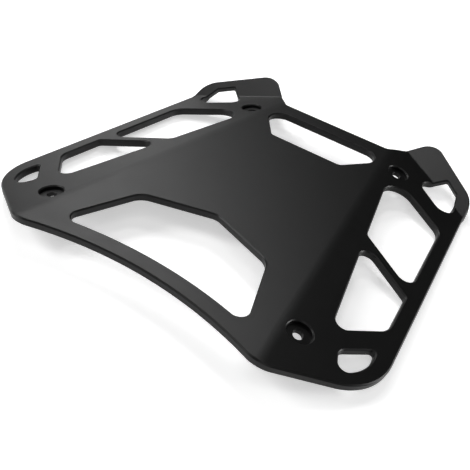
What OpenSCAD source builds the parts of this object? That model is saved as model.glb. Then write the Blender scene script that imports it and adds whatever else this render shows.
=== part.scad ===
/* [Sheet] */
// Thickness of the plate
plate_t = 6; // [4:0.5:8]
// Angle by which each side wing drops from the deck
wing_angle = 12.5; // [4:0.5:16]
// Inside radius of the long bend between deck and wing
wing_bend_r = 30; // [15:1:36]
// Angle by which each ear rises from its wing
ear_angle = 32.5; // [15:0.5:45]
// Inside radius of the sharp bend at the foot of each ear
ear_bend_r = 4; // [3:0.5:6]

/* [Bend lines] */
// Distance from the middle of the plate to the long bend
wing_bend_x = 75.8; // [75:0.1:77]
// Slant of the long bend
wing_bend_dir = 8.1; // [7.5:0.1:8.7]
// Direction of the ear bend's normal
ear_bend_dir = 61.3; // [59:0.1:63]
// Distance from the origin to the ear bend
ear_bend_d = 176; // [174:0.5:178]

/* [Outline] */
// Far edge between the ears
far_edge_y = 151.9; // [148:0.1:155]
// Middle of the hollow near edge
near_edge_y = -113.1; // [-116:0.1:-110]
// Radius of the hollow near edge
near_edge_r = 274; // [262:1:290]
// Direction of the corner edge's normal
corner_edge_dir = -57.2; // [-59:0.1:-55]
// Distance from the origin to the corner edge
corner_edge_d = 160.2; // [158:0.1:163]
// Direction of the outer side's normal
side_dir = 5.4; // [4:0.1:7]
// Distance from the origin to the outer side
side_d = 147.4; // [146:0.1:150]
// Radius of the large corner
corner_r = 43; // [35:1:44]
// Radius where the hollow near edge meets the corner edge
foot_r = 20; // [10:1:22]

/* [Ears] */
// Direction of the normal of the ear's top edge
ear_top_dir = 53; // [51:0.5:55]
// How much further out the ear's top edge lies than the ear bend
ear_rise = 21.2; // [19:0.1:24]
// Direction of the normal of the ear's inner side
ear_in_dir = -41.7; // [-43:0.1:-40]
// Distance from the origin to the ear's inner side
ear_in_d = -63.2; // [-64:0.1:-62]
// Radius of the ear's inner corner
ear_in_r = 13.5; // [6:0.5:15]
// Radius of the ear's outer corner
ear_out_r = 25; // [18:1:26]
// Radius of the hollow between far edge and ear
ear_root_r = 6.3; // [3:0.1:8]

/* [Deck window] */
// Tip of the window's far edge
window_tip_y = -32.6; // [-40:0.1:-28]
// Direction of the normal of the window's far edge
window_far_dir = 71.1; // [69:0.1:73]
// Direction of the normal of the window's side
window_side_dir = 19.7; // [18:0.1:21]
// Distance from the origin to the window's side
window_side_d = 32.4; // [30:0.1:34]
// Width of the rail between window and near edge
near_rail_w = 13.2; // [10:0.1:16]
// Radius of the window's near edge
window_near_r = 298; // [290:1:310]
// Radius of the window's far tip
window_tip_r = 11.6; // [4:0.1:15]
// Radius of the window's far corners
window_far_r = 13.5; // [6:0.1:16]
// Radius of the window's near corners
window_near_corner_r = 6.8; // [3:0.1:8]

/* [Deck slot] */
// Near edge of the slot
slot_near_y = 95.4; // [92:0.1:100]
// Width of the rail between slot and far edge
far_rail_w = 17; // [14:0.5:22]
// Half length of the slot's far edge
slot_far_half = 61.5; // [56:0.5:63]
// Half length of the slot's near edge
slot_near_half = 32.2; // [26:0.1:36]
// Radius of the slot's far corners
slot_far_r = 11.8; // [5:0.1:12]
// Radius of the slot's near corners
slot_near_r = 4.9; // [2:0.1:8]

/* [Wing windows] */
// Width of the rail along the outer side
side_rail_w = 11.5; // [9:0.1:14]
// Direction of the normal of the windows' inner edge
wing_in_dir = 13.1; // [12:0.1:14]
// Distance from the origin to the windows' inner edge
wing_in_d = 93.8; // [93:0.1:96]
// Direction of the web between the two windows
web_dir = 63.3; // [61:0.1:65]
// Distance from the origin to the web's middle
web_d = 63.8; // [60:0.1:67]
// Width of the web between the two windows
web_w = 7.7; // [5:0.1:11]
// Width of the band between far window and ear bend
band_w = 35.5; // [33:0.5:38]
// Direction of the normal of the near window's near edge
near_window_dir = -41.4; // [-44:0.1:-38]
// Distance from the origin to the near window's near edge
near_window_d = 131.6; // [129:0.1:133]
// Radius of the near window's inner far corner
near_window_r1 = 7; // [4:0.1:10]
// Radius of the near window's outer far corner
near_window_r2 = 3.3; // [2:0.1:6]
// Radius of the near window's outer near corner
near_window_r3 = 14.3; // [8:0.1:18]
// Radius of the near window's inner near corner
near_window_r4 = 6.3; // [3:0.1:9]
// Radius of the far window's inner far corner
far_window_r1 = 14; // [8:0.1:16]
// Radius of the far window's outer far corner
far_window_r2 = 13.2; // [8:0.1:14]
// Radius of the far window's outer near corner
far_window_r3 = 7.5; // [4:0.1:12]
// Radius of the far window's inner near corner
far_window_r4 = 6.9; // [3:0.1:9]

/* [Corner slot] */
// Direction of the normal of the corner slot's straight far edge
corner_slot_far_dir = -41.4; // [-44:0.1:-40]
// Distance of the corner slot's far edge from the large corner's centre
corner_slot_far_d = 18.4; // [17.4:0.1:19.8]
// Direction of the normal of the corner slot's inner edge
corner_slot_in_dir = 24; // [20:0.5:28]
// Distance of the corner slot's inner edge from the large corner's centre
corner_slot_in_d = 6.2; // [4.9:0.1:7.9]
// Radius of the corner slot's round outer edge
corner_slot_r = 27.7; // [26:0.1:28.5]
// How far the middle of that round edge lies out from the large corner's centre
corner_slot_x = 4.0; // [3.2:0.1:4.8]
// How far it lies along the plate from the large corner's centre
corner_slot_y = -4.3; // [-5.3:0.1:-3.3]
// Radius between far and inner edge
corner_slot_back_r = 6.4; // [3:0.1:6.5]
// Radius between inner and round edge
corner_slot_tip_r = 5.5; // [4:0.1:6.8]
// Radius between round and far edge
corner_slot_end_r = 1.8; // [0.5:0.1:2]

/* [Ear window] */
// Direction of the normal of the ear window's near edge
ear_window_near_dir = 57.7; // [56:0.1:60]
// Distance from the origin to the ear window's near edge
ear_window_near_d = 161.5; // [160:0.1:163]
// Direction of the normal of the ear window's outer side
ear_window_out_dir = 17.4; // [16:0.1:19]
// Width of the rail between the ear window's near outer corner and the outer side
ear_side_w = 5.8; // [5:0.1:7]
// Direction of the normal of the ear window's inner side
ear_window_in_dir = -46; // [-48:0.1:-44]
// Distance from the origin to the ear window's inner side
ear_window_in_d = -35.9; // [-38:0.1:-34]
// Width of the rail along the ear's top edge
ear_rail_w = 9; // [7:0.1:11]
// Radius of the ear window's near outer corner
ear_window_out_r = 8.5; // [4:0.1:9.5]
// Radius of the ear window's near inner corner
ear_window_in_r = 8.8; // [4:0.1:9]
// Radius of the ear window's two far corners
ear_window_far_r = 1.6; // [1:0.1:2.5]

/* [Screw holes] */
// Half the distance between the two near holes
near_hole_x = 100; // [100:0.1:101]
// Near holes along the plate
near_hole_y = -90; // [-92:0.5:-88]
// Half the distance between the two far holes
far_hole_x = 72.4; // [71.5:0.1:73.5]
// Far holes along the plate
far_hole_y = 127; // [125:0.5:129]
// Bore of the screw holes
hole_d = 6.6; // [5:0.1:9]
// Width of the sunk seat for the screw head
seat_d = 17; // [14:0.1:19]
// Depth of the sunk seat
seat_depth = 3; // [1:0.1:3.5]

/* [Hidden] */
$fn = 96;
far = 400;
beyond = 15;
// Largest turn between two points of a round, and how far two cuts overlap where they meet
arc_step = 7.5;
overlap = 0.03;
wing_bend_d = wing_bend_x * cos(wing_bend_dir);
wing_top_r = wing_bend_r + plate_t;
wing_half = wing_top_r * wing_angle * PI / 360;
ear_half = ear_bend_r * ear_angle * PI / 360;
// Each straight edge is a line: the direction of its normal and its distance from the origin
wing_bend = [wing_bend_dir, wing_bend_d];
ear_bend = [ear_bend_dir, ear_bend_d];
side = [side_dir, side_d];
corner_edge = [corner_edge_dir, corner_edge_d];
ear_top = [ear_top_dir, ear_bend_d + ear_rise];
ear_in = [ear_in_dir, ear_in_d];
window_side = [window_side_dir, window_side_d];
window_far = [window_far_dir, window_tip_y * sin(window_far_dir)];
wing_in = [wing_in_dir, wing_in_d];
wing_out = [side_dir, side_d - side_rail_w];
corner_c = meet(shifted(corner_edge, -corner_r), shifted(side, -corner_r));
corner_slot_c = corner_c + [corner_slot_x, corner_slot_y];
corner_slot_far = [corner_slot_far_dir, corner_c * along(corner_slot_far_dir) + corner_slot_far_d];
corner_slot_in = [corner_slot_in_dir, corner_c * along(corner_slot_in_dir) + corner_slot_in_d];
ear_window_near = [ear_window_near_dir, ear_window_near_d];
ear_window_out = [ear_window_out_dir, meet(ear_window_near, shifted(side, -ear_side_w)) * along(ear_window_out_dir)];
ear_window_in = [ear_window_in_dir, ear_window_in_d];
ear_window_top = [ear_top_dir, ear_bend_d + ear_rise - ear_rail_w];
near_edge_c = [0, near_edge_y - near_edge_r];
window_near_c = [0, near_edge_y + near_rail_w - window_near_r];

function unit(v) = v / norm(v);
function leg(long, short) = sqrt(long * long - short * short);
function along(a) = [cos(a), sin(a)];
function at_y(line, y) = [(line[1] - y * sin(line[0])) / cos(line[0]), y];
function shifted(line, by) = [line[0], line[1] + by];

// Where two lines cross
function meet(a, b) =
    let (det = cos(a[0]) * sin(b[0]) - sin(a[0]) * cos(b[0]))
    [(a[1] * sin(b[0]) - b[1] * sin(a[0])) / det, (cos(a[0]) * b[1] - cos(b[0]) * a[1]) / det];

// Centre of a round that touches a circle at distance reach from its centre c and the inside of a line
function round_centre(c, reach, line, r) =
    let (off = line[1] - r - c * along(line[0]), rest = leg(reach, off))
    c + along(line[0]) * off + along(line[0] + 90) * rest;

// Points of an arc round c from direction a to direction b
function arc(c, r, a, b, step = arc_step) =
    let (n = ceil(abs(b - a) / step))
    [for (k = [0:n]) c + r * along(a + (b - a) * k / n)];

function direction(v) = atan2(v[1], v[0]);
function turned(a) = a > 180 ? a - 360 : a < -180 ? a + 360 : a;

// Points of the round with radius r at corner p, between its neighbours q and s
function corner(p, q, s, r) =
    r == 0 ? [p] :
    let (
        half = acos(unit(q - p) * unit(s - p)) / 2,
        c = p + unit(unit(q - p) + unit(s - p)) * r / sin(half),
        a = direction(p + unit(q - p) * r / tan(half) - c),
        b = direction(p + unit(s - p) * r / tan(half) - c)
    )
    arc(c, r, a, a + turned(b - a));

function rounded(pts, rs) =
    let (n = len(pts))
    [for (i = [0:n - 1]) each corner(pts[i], pts[(i + n - 1) % n], pts[(i + 1) % n], rs[i])];

function mirrored(pts) = [for (i = [len(pts) - 1:-1:0]) [-pts[i][0], pts[i][1]]];

// Place on the wing's plane below a point of the ear
function below_ear(p) =
    let (q = p * along(ear_bend_dir) - ear_bend_d)
    p + along(ear_bend_dir) * (ear_bend_r * sin(ear_angle) - ear_half + (q - ear_half) * cos(ear_angle) - q);

// Prism of the given outline, through everything
module through() {
    translate([0, 0, -far / 2])
        linear_extrude(far)
            children();
}

// Moves what lies beyond the line to its place after the bend, down by angle
module folded(line, half, r_top, angle) {
    turn = angle > 0 ? 1 : -1;
    translate(line[1] * along(line[0]))
        rotate([0, 0, line[0]])
            translate([r_top * sin(abs(angle)) - half, 0, -turn * r_top * (1 - cos(angle))])
                rotate([0, angle, 0])
                    translate([-half, 0, 0])
                        rotate([0, 0, -line[0]])
                            translate(-line[1] * along(line[0]))
                                children();
}

module on_wing() {
    folded(wing_bend, wing_half, wing_top_r, wing_angle)
        children();
}

module on_ear() {
    on_wing()
        folded(ear_bend, ear_half, ear_bend_r, -ear_angle)
            children();
}

// Runs a cross-section, drawn across the line, along the line
module run_along(line, length) {
    translate(line[1] * along(line[0]))
        rotate([90, 0, line[0]])
            translate([0, 0, -length / 2])
                linear_extrude(length)
                    children();
}

// Everything below a surface that lies drop under the plate's upper face
module below(drop) {
    reach = far / 2 + drop;
    crown = arc([-wing_half, -wing_top_r], wing_top_r - drop, 90, 90 - wing_angle, 2.1);
    hollow = arc([-ear_half, ear_bend_r], ear_bend_r + drop, -90, ear_angle - 90, 4.1);
    run_along(wing_bend, 2 * reach)
        polygon([[-reach, -drop], each crown, crown[len(crown) - 1] + along(-wing_angle) * reach,
            [reach, -reach], [-reach, -reach]]);
    on_wing()
        run_along(ear_bend, reach)
            polygon([hollow[0] - (hollow[1] - hollow[0]) * 8, for (k = [1:len(hollow) - 1]) hollow[k],
                hollow[len(hollow) - 1] + along(ear_angle) * far / 4, [far / 5, -far / 10],
                [-far / 40 - drop, -far / 10]]);
}

// The plate of the right half, bent but not yet cut to its outline
module bent_sheet() {
    intersection() {
        difference() {
            below(0);
            below(plate_t);
        }
        translate([0, -far / 2, -far / 4])
            cube([far / 2, far, far / 2]);
    }
}

// Upright cut: the hollow near edge, the far edge and the hollow at the ear's foot
module deck_cut() {
    foot_c = round_centre(near_edge_c, near_edge_r + foot_r, corner_edge, foot_r);
    foot_dir = direction(foot_c - near_edge_c);
    root = at_y(shifted(ear_in, -overlap), far_edge_y);
    hollow = corner(root, [0, far_edge_y], root + along(ear_in_dir + 90), ear_root_r);
    polygon([
        each arc(near_edge_c, near_edge_r, 90, foot_dir, 1),
        for (p = arc(foot_c, foot_r, foot_dir - 180, corner_edge_dir)) p,
        foot_c + along(corner_edge_dir) * far / 4,
        [far, -far / 2],
        [far, far],
        hollow[len(hollow) - 1] + along(ear_in_dir + 100) * far / 2,
        for (k = [len(hollow) - 1:-1:0]) hollow[k],
        [0, far_edge_y]
    ]);
}

// Cut square to the wing: the corner edge, the outer side and the ear's two sides
module wing_cut() {
    root = at_y(ear_in, far_edge_y);
    hollow = corner(root, [0, far_edge_y], root + along(ear_in_dir + 90), ear_root_r);
    foot = hollow[len(hollow) - 1] - along(ear_in_dir + 90) * overlap * 16;
    polygon(rounded([
        at_y(corner_edge, -far / 2),
        meet(corner_edge, side),
        meet(side, ear_bend),
        below_ear(meet(side, shifted(ear_top, beyond))),
        [far / 2, far],
        [0, far],
        below_ear(meet(ear_in, shifted(ear_top, beyond))),
        meet(ear_in, ear_bend),
        foot,
        foot + along(165) * far / 4,
        [-far / 2, -far / 2]
    ], [0, corner_r, 0, 0, 0, 0, 0, 0, 0, 0, 0]));
}

// Cut square to the ear: its top edge and both corners
module ear_cut() {
    in = shifted(ear_in, -overlap);
    out = shifted(side, overlap);
    a = meet(in, ear_top);
    b = meet(ear_top, out);
    inner = corner(a, a - along(in[0] + 90), b, ear_in_r);
    outer = corner(b, a, b - along(out[0] + 90), ear_out_r);
    polygon([each inner, each outer,
        outer[len(outer) - 1] + along(side_dir) * far / 4, [far, -far], [-far, -far],
        inner[0] + along(ear_in_dir + 180) * far / 4]);
}

// Window between deck and near edge, hollow like the near edge
module deck_window() {
    corner_c = round_centre(window_near_c, window_near_r + window_near_corner_r, window_side, window_near_corner_r);
    corner_dir = direction(corner_c - window_near_c);
    low = corner_c + along(window_side_dir) * window_near_corner_r;
    right = [
        each arc(window_near_c, window_near_r, 90, corner_dir, 1),
        for (p = arc(corner_c, window_near_corner_r, corner_dir - 180, window_side_dir)) p,
        each corner(meet(window_far, window_side), low, [0, window_tip_y], window_far_r)
    ];
    tip = corner([0, window_tip_y], meet(window_far, window_side),
        [-meet(window_far, window_side)[0], meet(window_far, window_side)[1]], window_tip_r);
    left = mirrored(right);
    polygon([each right, each tip, for (k = [0:len(left) - 2]) left[k]]);
}

module deck_slot() {
    y = far_edge_y - far_rail_w;
    polygon(rounded([[slot_far_half, y], [slot_near_half, slot_near_y], [-slot_near_half, slot_near_y],
        [-slot_far_half, y]], [slot_far_r, slot_near_r, slot_near_r, slot_far_r]));
}

module near_window() {
    web = [web_dir, web_d - web_w / 2];
    near = [near_window_dir, near_window_d];
    polygon(rounded([meet(wing_in, web), meet(web, wing_out), meet(wing_out, near), meet(near, wing_in)],
        [near_window_r1, near_window_r2, near_window_r3, near_window_r4]));
}

module far_window() {
    web = [web_dir, web_d + web_w / 2];
    band = [ear_bend_dir, ear_bend_d - band_w];
    polygon(rounded([meet(wing_in, band), meet(band, wing_out), meet(wing_out, web), meet(web, wing_in)],
        [far_window_r1, far_window_r2, far_window_r3, far_window_r4]));
}

// Foot of the slot circle's centre on a line that runs at distance r from the given one
function slot_end(line, r) =
    corner_slot_c + along(line[0]) * (line[1] + r - corner_slot_c * along(line[0]));

// Slot that follows the large corner
module corner_slot() {
    low_reach = corner_slot_r - corner_slot_tip_r;
    low_mid = slot_end(corner_slot_in, corner_slot_tip_r);
    low_c = low_mid + along(corner_slot_in_dir - 90) * leg(low_reach, norm(low_mid - corner_slot_c));
    high_reach = corner_slot_r - corner_slot_end_r;
    high_mid = slot_end(corner_slot_far, corner_slot_end_r);
    high_c = high_mid + along(corner_slot_far_dir + 90) * leg(high_reach, norm(high_mid - corner_slot_c));
    low_dir = direction(low_c - corner_slot_c);
    high_dir = low_dir + turned(direction(high_c - corner_slot_c) - low_dir);
    back = meet(corner_slot_far, corner_slot_in);
    polygon([
        each arc(low_c, corner_slot_tip_r, corner_slot_in_dir - 180, low_dir),
        for (p = arc(corner_slot_c, corner_slot_r, low_dir, high_dir)) p,
        for (p = arc(high_c, corner_slot_end_r, high_dir, corner_slot_far_dir + 180, 30)) p,
        each corner(back, back + along(corner_slot_far_dir + 90), back + along(corner_slot_in_dir - 90),
            corner_slot_back_r)
    ]);
}

// Window that runs over the ear's bend, cut square to the wing
module ear_window() {
    flat = rounded([
        meet(ear_window_near, ear_window_in),
        meet(ear_window_near, ear_window_out),
        meet(ear_window_out, shifted(ear_bend, ear_bend_r)),
        meet(ear_window_out, ear_window_top),
        meet(ear_window_in, ear_window_top),
        meet(ear_window_in, ear_bend)
    ], [ear_window_in_r, ear_window_out_r, 0, ear_window_far_r, ear_window_far_r, 0]);
    polygon([for (p = flat) p * along(ear_bend_dir) > ear_bend_d ? below_ear(p) : p]);
}

module screw_hole(x, y) {
    on_wing()
        translate([x, y, 0]) {
            translate([0, 0, -plate_t * 2])
                cylinder(h = plate_t * 3, d = hole_d);
            translate([0, 0, -seat_depth])
                cylinder(h = plate_t * 2, d = seat_d);
        }
}

module half_plate() {
    difference() {
        intersection() {
            bent_sheet();
            through() deck_cut();
            on_wing() through() wing_cut();
            on_ear() through() ear_cut();
        }
        on_wing()
            through() {
                near_window();
                far_window();
                corner_slot();
                ear_window();
            }
        screw_hole(near_hole_x, near_hole_y);
        screw_hole(far_hole_x, far_hole_y);
    }
}

module rack_plate() {
    color("#3c3d3f")
        difference() {
            union() {
                half_plate();
                mirror([1, 0, 0]) half_plate();
            }
            through() deck_window();
            through() deck_slot();
        }
}

rack_plate();
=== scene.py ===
import bpy
import numpy as np
from mathutils import Matrix, Vector
from mathutils.geometry import delaunay_2d_cdt


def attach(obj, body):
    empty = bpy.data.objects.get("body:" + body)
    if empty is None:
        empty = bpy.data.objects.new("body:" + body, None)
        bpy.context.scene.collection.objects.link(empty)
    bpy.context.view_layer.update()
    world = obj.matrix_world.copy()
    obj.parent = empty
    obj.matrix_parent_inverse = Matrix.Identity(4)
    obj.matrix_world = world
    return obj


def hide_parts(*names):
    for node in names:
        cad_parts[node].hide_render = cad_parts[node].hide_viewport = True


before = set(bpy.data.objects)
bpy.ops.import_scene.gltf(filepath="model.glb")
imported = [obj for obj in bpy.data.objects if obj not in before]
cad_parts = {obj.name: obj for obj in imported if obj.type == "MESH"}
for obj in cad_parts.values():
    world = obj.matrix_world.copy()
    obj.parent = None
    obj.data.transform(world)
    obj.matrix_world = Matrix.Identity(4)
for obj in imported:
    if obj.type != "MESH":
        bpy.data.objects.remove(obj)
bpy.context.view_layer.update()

# The rack starts as one flat blank cut from 6 mm aluminium plate: an outline, ten windows and four screw
# holes. Sizes are in mm on the blank's upper face, from the middle of the deck. A straight edge is a line:
# the direction of its normal in degrees, and its distance.
plate_t = 6.0
side, corner_edge = (5.4, 147.4), (-57.2, 160.2)
ear_top, ear_in, far_edge = (53.0, 197.2), (-41.7, -63.2), (90.0, 151.9)
near_y, near_r = -113.1, 274.0
step, step_turn = 0.8, 7.5
foot_r, large_r, ear_out_r, ear_in_r, root_r = 20, 43, 25, 13.5, 6.3


def along(a):
    """Unit vector in direction a: its cosine and sine, from degrees."""
    return np.array([np.cos(np.radians(a)), np.sin(np.radians(a))])


def heading(v):
    """Direction of a vector in degrees: the arc tangent of y over x."""
    return np.degrees(np.arctan2(v[1], v[0]))


def turned(a):
    """The same angle, brought between -180 and 180 degrees."""
    return (a + 180) % 360 - 180


def meet(a, b):
    """Where two lines cross: the point whose products with both normals are the two distances."""
    return np.linalg.solve([along(a[0]), along(b[0])], [a[1], b[1]])


def moved(line, by):
    """The line shifted along its normal: the same direction, and by added to the distance."""
    return (line[0], line[1] + by)


def arc(c, r, a, b):
    """Points c + r times the unit vector, from direction a to b, in even steps.

    They are no more than step mm apart, and turn no more than step_turn degrees."""
    n = max(int(np.ceil(abs(np.radians(b - a)) * r / step)), int(np.ceil(abs(b - a) / step_turn)), 1)
    t = np.radians(np.linspace(a, b, n + 1))
    return np.asarray(c) + r * np.stack([np.cos(t), np.sin(t)], -1)


def corner(p, q, s, r):
    """The round of radius r that touches both legs of corner p, from the leg to q to the leg to s.

    Its centre is on the line that halves the corner, r over the sine of half the angle from p."""
    u, w = (q - p) / np.linalg.norm(q - p), (s - p) / np.linalg.norm(s - p)
    half = np.arccos(u @ w) / 2
    c = p + (u + w) / np.linalg.norm(u + w) * r / np.sin(half)
    a, b = heading(p + u * r / np.tan(half) - c), heading(p + w * r / np.tan(half) - c)
    return arc(c, r, a, a + turned(b - a))


def round_c(c, reach, line, r):
    """Centre of a round of radius r at distance reach from c that touches the line from inside.

    It lies off along the line's normal, and beside it by the root of reach squared less off squared."""
    off = line[1] - r - c @ along(line[0])
    return c + along(line[0]) * off + along(line[0] + 90) * np.sqrt(reach**2 - off**2)


def rounded(points, radii):
    """A closed polygon with each corner cut to the round that touches its two sides."""
    n = len(points)
    return np.concatenate([corner(points[i], points[i - 1], points[(i + 1) % n], radii[i]) for i in range(n)])


def both(right):
    """A half outline from the middle line's near end to its far end, with its mirror image after it."""
    return np.concatenate([right, (right * [-1, 1])[::-1]])


near_c = np.array([0, near_y - near_r])
foot_c = round_c(near_c, near_r + foot_r, corner_edge, foot_r)
foot_dir = heading(foot_c - near_c)
large_at, ear_out_at = meet(corner_edge, side), meet(side, ear_top)
ear_in_at, root_at = meet(ear_top, ear_in), meet(ear_in, far_edge)
rim = both(np.concatenate([
    arc(near_c, near_r, 90, foot_dir),
    arc(foot_c, foot_r, foot_dir - 180, corner_edge[0]),
    corner(large_at, foot_c + along(corner_edge[0]) * foot_r, ear_out_at, large_r),
    corner(ear_out_at, large_at, ear_in_at, ear_out_r),
    corner(ear_in_at, ear_out_at, root_at, ear_in_r),
    corner(root_at, ear_in_at, np.array([0, far_edge[1]]), root_r),
]))

# The deck is cut out twice, which saves weight: a window behind the hollow near edge, with a blunt point
# in its far side, and a slot inside the far edge. They leave rails 13 and 17 mm wide.
near_rail, far_rail = 13.2, 17
window_r, low_r, high_r, tip_r = 298.0, 6.8, 13.5, 11.6
window_side, tip_y = (19.7, 32.4), -32.6
window_far = (71.1, tip_y * np.sin(np.radians(71.1)))
window_c = np.array([0, near_y + near_rail - window_r])
low_c = round_c(window_c, window_r + low_r, window_side, low_r)
low_dir = heading(low_c - window_c)
high_at, tip_at = meet(window_far, window_side), np.array([0, tip_y])
tip_round = corner(tip_at, high_at, high_at * [-1, 1], tip_r)
deck_window = both(np.concatenate([
    arc(window_c, window_r, 90, low_dir),
    arc(low_c, low_r, low_dir - 180, window_side[0]),
    corner(high_at, low_c + along(window_side[0]) * low_r, tip_at, high_r),
    tip_round[: len(tip_round) // 2 + 1],
]))
slot_y, slot_near_y, slot_half, slot_near_half = far_edge[1] - far_rail, 95.4, 61.5, 32.2
deck_slot = rounded(np.array([[-slot_half, slot_y], [-slot_near_half, slot_near_y],
                              [slot_near_half, slot_near_y], [slot_half, slot_y]]), [11.8, 4.9, 4.9, 11.8])

# Each wing is cut out into a frame of rails: two windows with a slanted web between them, and one that
# runs over the ear's bend. The radii go round each window in the order of its corners.
wing_rail, ear_rail, web_w = 11.5, 9, 7.7
ear_bend = (61.3, 176.0)
wing_in, wing_out = (13.1, 93.8), moved(side, -wing_rail)
web, near_low, far_band = (63.3, 63.8), (-41.4, 131.6), moved(ear_bend, -35.5)
web_near, web_far = moved(web, -web_w / 2), moved(web, web_w / 2)
near_window = rounded(np.array([meet(near_low, wing_in), meet(wing_out, near_low),
                                meet(web_near, wing_out), meet(wing_in, web_near)]), [6.3, 14.3, 3.3, 7])
far_window = rounded(np.array([meet(web_far, wing_in), meet(wing_out, web_far),
                               meet(far_band, wing_out), meet(wing_in, far_band)]), [6.9, 7.5, 13.2, 14])
eye_near, eye_out, eye_in, eye_far = (57.7, 161.5), (17.4, 158.2), (-46, -35.9), moved(ear_top, -ear_rail)
ear_window = rounded(np.array([meet(eye_near, eye_in), meet(eye_near, eye_out),
                               meet(eye_out, eye_far), meet(eye_in, eye_far)]), [8.8, 8.5, 1.6, 1.6])

# A slot for a strap lies in each large near corner: two straight sides that meet in a round, and an arc
# that leaves a rail 9 to 12 mm wide along the rack's own corner.
slot_far, slot_in = (-41.4, 146.65), (24, 80.3)
slot_c, slot_r = np.array([115.3, -72]), 27.7
slot_low_r, slot_high_r, slot_back_r = 5.5, 1.8, 6.4
off = slot_in[1] + slot_low_r - slot_c @ along(slot_in[0])
low_end = (slot_c + along(slot_in[0]) * off
           + along(slot_in[0] - 90) * np.sqrt((slot_r - slot_low_r) ** 2 - off**2))
off = slot_far[1] + slot_high_r - slot_c @ along(slot_far[0])
high_end = (slot_c + along(slot_far[0]) * off
            + along(slot_far[0] + 90) * np.sqrt((slot_r - slot_high_r) ** 2 - off**2))
low_end_dir, high_end_dir = heading(low_end - slot_c), heading(high_end - slot_c)
corner_slot = np.concatenate([
    arc(low_end, slot_low_r, slot_in[0] - 180, low_end_dir),
    arc(slot_c, slot_r, low_end_dir, high_end_dir),
    arc(high_end, slot_high_r, high_end_dir, slot_far[0] + 180),
    corner(meet(slot_far, slot_in), high_end - along(slot_far[0]) * slot_high_r,
           low_end - along(slot_in[0]) * slot_low_r, slot_back_r),
])

# A press brake turns each side wing down by 12.5 degrees round a wide tool, and each ear up by 32.5
# degrees round a sharp one. The upper face keeps its length, so a point of the blank goes on the tool's
# circle where the bend is, and straight on past it.
wing_bend = (8.1, 75.8 * np.cos(np.radians(8.1)))
wing_angle, ear_angle = np.radians(12.5), np.radians(32.5)
wing_top_r, ear_bend_r = 36.0, 4.0


def bent(u, z, line, r, angle, up):
    """Carries points past a line round a bend: the place u on the blank, height z above the upper face.

    The turn grows evenly from 0 to angle over the arc's length r * angle, half of it on each side of the
    line. On the arc a point is r - up * z from the tool's centre, and past it the rest goes straight on."""
    n, h = along(line[0]), r * angle / 2
    q = u @ n - line[1]
    turn = np.clip((q + h) / (2 * h), 0, 1) * angle
    past, reach = np.maximum(q - h, 0), r - up * z
    goes = np.where(q < -h, q, -h + reach * np.sin(turn) + past * np.cos(angle))
    lifts = np.where(q < -h, z, up * (r - reach * np.cos(turn) + past * np.sin(angle)))
    return u + (goes - q)[:, None] * n, lifts, turn * up


def tilt(v, line, turn):
    """Turns vectors v about the bend's line by the angle turn, upwards.

    The part across the line and the height change as a plane turn does; the part along it stays."""
    n = along(line[0])
    q = v[:, :2] @ n
    goes = q * np.cos(turn) - v[:, 2] * np.sin(turn)
    return np.column_stack([v[:, :2] + (goes - q)[:, None] * n, q * np.sin(turn) + v[:, 2] * np.cos(turn)])


def folded(u, z, v):
    """Place in the finished rack of each point of the blank, and its normal v turned with it.

    A point left of the middle is mirrored to the right, bent there, and mirrored back."""
    s = np.where(u[:, 0] < 0, -1.0, 1.0)
    u, v = u * np.stack([s, s * s], -1), v * np.stack([s, s * s, s * s], -1)
    u, z, turn = bent(u, z, ear_bend, ear_bend_r, ear_angle, 1)
    v = tilt(v, ear_bend, turn)
    u, z, turn = bent(u, z, wing_bend, wing_top_r, wing_angle, -1)
    v = tilt(v, wing_bend, turn)
    return np.column_stack([u[:, 0] * s, u[:, 1], z]), v * np.stack([s, s * s, s * s], -1)


# The plate itself: every edge of the blank is broken by 1 mm before it is bent, and each screw hole has a
# flat seat milled round it for the screw's head. The walls are rings carried round each outline, and the
# two faces are filled between the rings, with rows of points along the bends.
edge, seat_edge, bore_edge = 1.0, 0.8, 0.4
seat_r, bore_r, seat_z = 8.5, 3.3, -3.0
screws = ((100, -90), (72.4, 127))


def broken(c, top, start=0.0):
    """Profile of an edge cut off at 45 degrees by c, its two corners softened by a tenth of that.

    Each row is the distance into the plate, the height, and the normal in those two directions."""
    rows = np.array([[1.1, 0, 0, 1], [0.9, 0.1, -0.7, 0.7], [0.1, 0.9, -0.7, 0.7], [0, 1.1, -1, 0]])
    rows = rows * [c, -c, 1, 1]
    if not top:
        rows = rows[::-1] * [1, -1, 1, -1] - [0, plate_t, 0, 0]
    return rows + [start, 0, 0, 0]


def dense(points):
    """A closed outline with points no more than step apart, and at each the unit vector to its left."""
    p = points[np.linalg.norm(points - np.roll(points, 1, 0), axis=1) > 1e-6]
    nxt = np.roll(p, -1, 0)
    n = np.maximum(np.ceil(np.linalg.norm(nxt - p, axis=1) / step).astype(int), 1)
    k = np.repeat(np.arange(len(p)), n)
    f = (np.arange(n.sum()) - np.repeat(np.cumsum(n) - n, n)) / n[k]
    q = p[k] + (nxt - p)[k] * f[:, None]
    t = np.roll(q, -1, 0) - q
    t /= np.linalg.norm(t, axis=1)[:, None]
    t = t + np.roll(t, 1, 0)
    t /= np.linalg.norm(t, axis=1)[:, None]
    return q, np.stack([-t[:, 1], t[:, 0]], -1)


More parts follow.
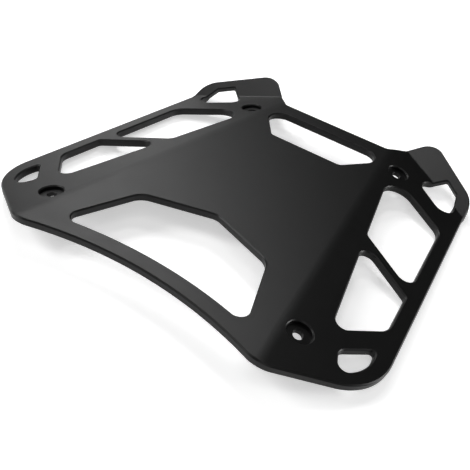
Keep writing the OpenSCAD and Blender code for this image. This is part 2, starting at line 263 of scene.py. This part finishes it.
cut_edge = [np.concatenate([broken(edge, True), broken(edge, False)])]
bore = bore_r - seat_r
hole_edge = [
    np.concatenate([broken(seat_edge, True), [[0, seat_z, -1, 0]]]),
    np.array([[0, seat_z, 0, 1], [bore + bore_edge, seat_z, 0, 1]]),
    np.array([[bore + bore_edge, seat_z, -0.7, 0.7], [bore, seat_z - bore_edge, -0.7, 0.7]]),
    np.concatenate([[[bore, seat_z - bore_edge, -1, 0]], broken(bore_edge, False, bore)]),
]
outlines = [(rim, cut_edge), (deck_window, cut_edge), (deck_slot, cut_edge)]
for piece in (near_window, far_window, ear_window, corner_slot):
    outlines += [(piece, cut_edge), ((piece * [-1, 1])[::-1], cut_edge)]
outlines += [(arc([s * x, y], seat_r, 0, 360 - step_turn), hole_edge) for x, y in screws for s in (1, -1)]

flat, height, quads, normals, top_loops, under_loops = [], [], [], [], [], []
count = 0
for k, (outline, strips) in enumerate(outlines):
    p, left = dense(outline)
    area = np.sum(p[:, 0] * np.roll(p[:, 1], -1) - np.roll(p[:, 0], -1) * p[:, 1])
    if (area > 0) != (k == 0):
        p, left = p[::-1], -left[::-1]
    n = len(p)
    i = np.arange(n)
    top_loops.append(count + i)
    for s, strip in enumerate(strips):
        # A strip after the first starts on the last ring of the one before it.
        first = count - n if s else count
        rows = strip[1:] if s else strip
        flat += [p + e * left for e in rows[:, 0]]
        height += [np.full(n, z) for z in rows[:, 1]]
        count += n * len(rows)
        for j in range(len(strip) - 1):
            a, b = first + j * n + i, first + j * n + (i + 1) % n
            quads.append(np.column_stack([a, a + n, b + n, b]))
            v, w = [np.column_stack([left * m[2], np.full(n, m[3])]) for m in strip[j:j + 2]]
            normals.append(np.stack([v, w, np.roll(w, -1, 0), np.roll(v, -1, 0)], 1))
    under_loops.append(count - n + i)
flat, height = np.concatenate(flat), np.concatenate(height)


def inside(q, loops):
    """Which points lie in the plate's material: those with an odd number of crossings to their right."""
    hit, chunk = np.zeros(len(q), int), 2000
    for a in loops:
        b = np.roll(a, -1, 0)
        for m in range(0, len(q), chunk):
            y = q[m:m + chunk, 1][:, None]
            cross = (a[:, 1] > y) != (b[:, 1] > y)
            with np.errstate(divide="ignore", invalid="ignore"):
                x = a[:, 0] + (y - a[:, 1]) * (b[:, 0] - a[:, 0]) / (b[:, 1] - a[:, 1])
            hit[m:m + chunk] += (cross & (x > q[m:m + chunk, 0][:, None])).sum(1)
    return hit % 2 == 1


def bend_rows(line, half, lo, hi, apart, rows=9):
    """A grid of points along a bend: rows across it from -half to half, and one every apart mm along it."""
    q, s = np.meshgrid(np.linspace(-half, half, rows), np.arange(lo, hi, apart))
    return (q.ravel()[:, None] + line[1]) * along(line[0]) + s.ravel()[:, None] * along(line[0] + 90)


grid = np.concatenate([bend_rows(wing_bend, wing_top_r * wing_angle / 2, -160, 180, 3.0),
                       bend_rows(ear_bend, ear_bend_r * ear_angle / 2, -110, 60, 1.5)])
grid = np.concatenate([grid, grid * [-1, 1]])


def fill(points, loops, up, clear_sq=0.3):
    """All points with the bends' rows added, and the triangles of one face between its outlines.

    Of those rows only points inside the material count, whose squared distance from every outline is above
    clear_sq, in mm2."""
    ring, shapes = np.concatenate(loops), [points[loop] for loop in loops]
    g = grid[inside(grid, shapes)]
    gap = (g[:, 0][:, None] - points[ring, 0]) ** 2 + (g[:, 1][:, None] - points[ring, 1]) ** 2
    g = g[gap.min(1) > clear_sq]
    ids = np.concatenate([ring, len(points) + np.arange(len(g))])
    points = np.concatenate([points, g])
    edges, m = [], 0
    for loop in loops:
        i = np.arange(len(loop))
        edges += np.column_stack([m + i, m + (i + 1) % len(loop)]).tolist()
        m += len(loop)
    _, _, tris, origin, _, _ = delaunay_2d_cdt([Vector(p) for p in points[ids]], edges, [], 0, 1e-5)
    tri = ids[np.array([o[0] for o in origin])[np.array(tris)]]
    tri = tri[inside(points[tri].mean(1), shapes)]
    a, b, c = points[tri[:, 0]], points[tri[:, 1]], points[tri[:, 2]]
    turn = (b - a)[:, 0] * (c - a)[:, 1] - (b - a)[:, 1] * (c - a)[:, 0]
    tri[(turn > 0) != up] = tri[(turn > 0) != up][:, ::-1]
    return points, tri


flat, top = fill(flat, top_loops, True)
height = np.concatenate([height, np.zeros(len(flat) - len(height))])
flat, under = fill(flat, under_loops, False)
height = np.concatenate([height, np.full(len(flat) - len(height), -plate_t)])
quads, normals = np.concatenate(quads), np.concatenate(normals)
corners = np.concatenate([quads.ravel(), top.ravel(), under.ravel()])
upright = np.concatenate([normals.reshape(-1, 3), np.tile([0.0, 0, 1], (top.size, 1)),
                          np.tile([0.0, 0, -1], (under.size, 1))])
place, _ = folded(flat, height, np.zeros((len(flat), 3)))
_, upright = folded(flat[corners], height[corners], upright)
upright /= np.linalg.norm(upright, axis=1)[:, None]
mesh = bpy.data.meshes.new("plate")
mesh.from_pydata((place / 1000).tolist(), [], quads.tolist() + top.tolist() + under.tolist())
mesh.shade_smooth()
mesh.normals_split_custom_set(upright.tolist())
plate = bpy.data.objects.new("plate", mesh)
bpy.context.collection.objects.link(plate)


# Black satin powder coat, sprayed dry and baked on: a dark skin whose sheen spreads each light wide, with
# a fine grain of a third of a millimetre, and a roughness that drifts over patches of 17 mm. Its IOR is
# below the usual 1.5, so that walls that face the pale floor stay dark.
grain_mm, patch_mm, grain_depth = 1 / 3, 16.67, 0.00003


def linear(code):
    """A colour written as sRGB hex, as the shader wants it: the sRGB curve undone for each channel."""
    c = np.array([int(code[i:i + 2], 16) for i in (1, 3, 5)]) / 255
    c = np.where(c <= 0.04045, c / 12.92, ((c + 0.055) / 1.055) ** 2.4)
    return (*c.tolist(), 1.0)


def add(of, kind, settings={}, links={}):
    """Adds a node, sets its values and sockets, and links its inputs, by name or number, to outputs."""
    node = of.node_tree.nodes.new(kind)
    for name, value in settings.items():
        if name in node.inputs:
            node.inputs[name].default_value = value
        else:
            setattr(node, name, value)
    for name, socket in links.items():
        of.node_tree.links.new(socket, node.inputs[name])
    return node


coat = bpy.data.materials.new("black satin powder coat")
coat.use_nodes = True
coat.node_tree.nodes.clear()
place_on = add(coat, "ShaderNodeTexCoord").outputs["Object"]
grain = add(coat, "ShaderNodeTexNoise", {"Scale": 1000 / grain_mm, "Detail": 2.0}, {"Vector": place_on})
patch = add(coat, "ShaderNodeTexNoise", {"Scale": 1000 / patch_mm, "Detail": 3.0}, {"Vector": place_on})
bump = add(coat, "ShaderNodeBump", {"Strength": 0.5, "Distance": grain_depth},
           {"Height": grain.outputs["Fac"]})
rough = add(coat, "ShaderNodeMapRange", {"To Min": 0.40, "To Max": 0.46}, {"Value": patch.outputs["Fac"]})
skin = add(coat, "ShaderNodeBsdfPrincipled", {"Base Color": linear("#090909"), "IOR": 1.33},
           {"Roughness": rough.outputs["Result"], "Normal": bump.outputs["Normal"]})
add(coat, "ShaderNodeOutputMaterial", {}, {"Surface": skin.outputs["BSDF"]})
mesh.materials.append(coat)
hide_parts("rack_plate")
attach(plate, "root")

# The studio has a white paper floor, wide enough to reach the horizon. The camera and the gloss see it
# glow as well, and more so further out, where the lamps' own light ends. The rack's shadow stays on it.
floor_z, floor_half = -0.0227, 30


def rays(of):
    """The camera ray of a material or the world, and the larger of its glossy and transmission rays."""
    path = add(of, "ShaderNodeLightPath").outputs
    gloss = add(of, "ShaderNodeMath", {"operation": "MAXIMUM"},
                {0: path["Is Glossy Ray"], 1: path["Is Transmission Ray"]})
    return path["Is Camera Ray"], gloss.outputs[0]


floor_mesh = bpy.data.meshes.new("floor")
around = np.array([(-1, -1), (1, -1), (1, 1), (-1, 1)]) * floor_half
floor_mesh.from_pydata(np.column_stack([around, np.full(4, floor_z)]).tolist(), [], [(0, 1, 2, 3)])
floor = bpy.data.objects.new("floor", floor_mesh)
bpy.context.collection.objects.link(floor)
paper = bpy.data.materials.new("white paper")
paper.use_nodes = True
paper.node_tree.nodes.clear()
matt = add(paper, "ShaderNodeBsdfDiffuse", {"Color": linear("#f4f4f4")}).outputs[0]
spot_on = add(paper, "ShaderNodeTexCoord")
far_off = add(paper, "ShaderNodeVectorMath", {"operation": "LENGTH"}, {"Vector": spot_on.outputs["Object"]})
evened = add(paper, "ShaderNodeMapRange", {"From Min": 0.4, "From Max": 2.5, "To Min": 0.5, "To Max": 1.0},
             {"Value": far_off.outputs["Value"]})
glow = add(paper, "ShaderNodeEmission", {"Color": (1, 1, 1, 1)}, {"Strength": evened.outputs["Result"]})
seen = add(paper, "ShaderNodeAddShader", {}, {0: matt, 1: glow.outputs[0]})
camera_ray, gloss_ray = rays(paper)
looked_at = add(paper, "ShaderNodeMath", {"operation": "MAXIMUM"}, {0: camera_ray, 1: gloss_ray})
pick = add(paper, "ShaderNodeMixShader", {}, {0: looked_at.outputs[0], 1: matt, 2: seen.outputs[0]})
add(paper, "ShaderNodeOutputMaterial", {}, {"Surface": pick.outputs[0]})
floor_mesh.materials.append(paper)

# The room is dim, so that the black faces stay black. The camera sees white beyond the floor, and gloss
# and glass see it too, as a low white wall that fades out 2 to 5 degrees above the floor.
world = bpy.data.worlds.new("studio")
bpy.context.scene.world = world
world.use_nodes = True
world.node_tree.nodes.clear()
camera_ray, gloss_ray = rays(world)
looks = add(world, "ShaderNodeTexCoord")
rise = add(world, "ShaderNodeSeparateXYZ", {}, {"Vector": looks.outputs["Generated"]})
wall = add(world, "ShaderNodeMapRange", {"From Min": 0.03, "From Max": 0.09, "To Min": 1.0, "To Max": 0.0},
           {"Value": rise.outputs["Z"]})
walled = add(world, "ShaderNodeMath", {"operation": "MULTIPLY"}, {0: gloss_ray, 1: wall.outputs["Result"]})
looked_at = add(world, "ShaderNodeMath", {"operation": "MAXIMUM"}, {0: camera_ray, 1: walled.outputs[0]})
level = add(world, "ShaderNodeMapRange", {"To Min": 0.005, "To Max": 1.0}, {"Value": looked_at.outputs[0]})
room = add(world, "ShaderNodeBackground", {"Color": (1, 1, 1, 1)}, {"Strength": level.outputs["Result"]})
add(world, "ShaderNodeOutputWorld", {}, {"Surface": room.outputs[0]})

# Four square soft boxes stand behind the rack on the left, and their sheen fades across the deck from left
# to right. One on each side lights the edges, and two in front fill the rest. Each is given by the
# direction it stands in, from the near side towards the right, its height, both in degrees, its distance
# and size in metres, and its power in watts.
for name, around, up, away, size, power in (
        ("sheen", -130, 43, 1.5, 0.5, 6.6),
        ("sheen far", -145, 45, 1.5, 0.5, 1.8),
        ("sheen low", -130, 15, 1.5, 0.5, 1.4),
        ("ears", -159, 65, 0.67, 0.15, 0.75),
        ("left", -62, 33, 1.5, 0.5, 10.0),
        ("right", 118, 8, 1.5, 0.5, 14.0),
        ("front low", 30, 38, 1.5, 0.8, 3.0),
        ("front high", 30, 70, 1.5, 0.8, 3.0)):
    a, e = np.radians([around, up])
    at = Vector((np.sin(a) * np.cos(e), -np.cos(a) * np.cos(e), np.sin(e))) * away
    lamp = bpy.data.lights.new(name, "AREA")
    lamp.shape, lamp.size, lamp.energy = "SQUARE", size, power
    box = bpy.data.objects.new(name, lamp)
    box.location = at
    box.rotation_euler = (-at).to_track_quat("-Z", "Y").to_euler()
    bpy.context.collection.objects.link(box)

# The camera stands where the photograph was taken from, right of the middle and 34 degrees above the deck.
# Its place was fitted in mm with the deck 1 mm higher, as a turn about an axis and the rack's middle as
# seen from the lens, looking along +Z with +Y down.
turn = Vector((2.10383881, 0.721071086, -0.154323685))
away = Vector((5.32150620, -28.0025578, 508.655590))
lens_px, photo_px, deck_up = 700.106, 470, 1
view = Matrix.Rotation(turn.length, 3, turn)
lens = bpy.data.cameras.new("camera")
lens.sensor_width, lens.lens = 36.0, 36.0 * lens_px / photo_px
lens.clip_start = 0.01
camera = bpy.data.objects.new("camera", lens)
spot = -(view.transposed() @ away) - Vector((0, 0, deck_up))
camera.matrix_world = (Matrix.Translation(spot / 1000)
                       @ (view.transposed() @ Matrix.Diagonal((1, -1, -1))).to_4x4())
bpy.context.collection.objects.link(camera)
bpy.context.scene.camera = camera
bpy.context.scene.view_settings.view_transform = "Standard"
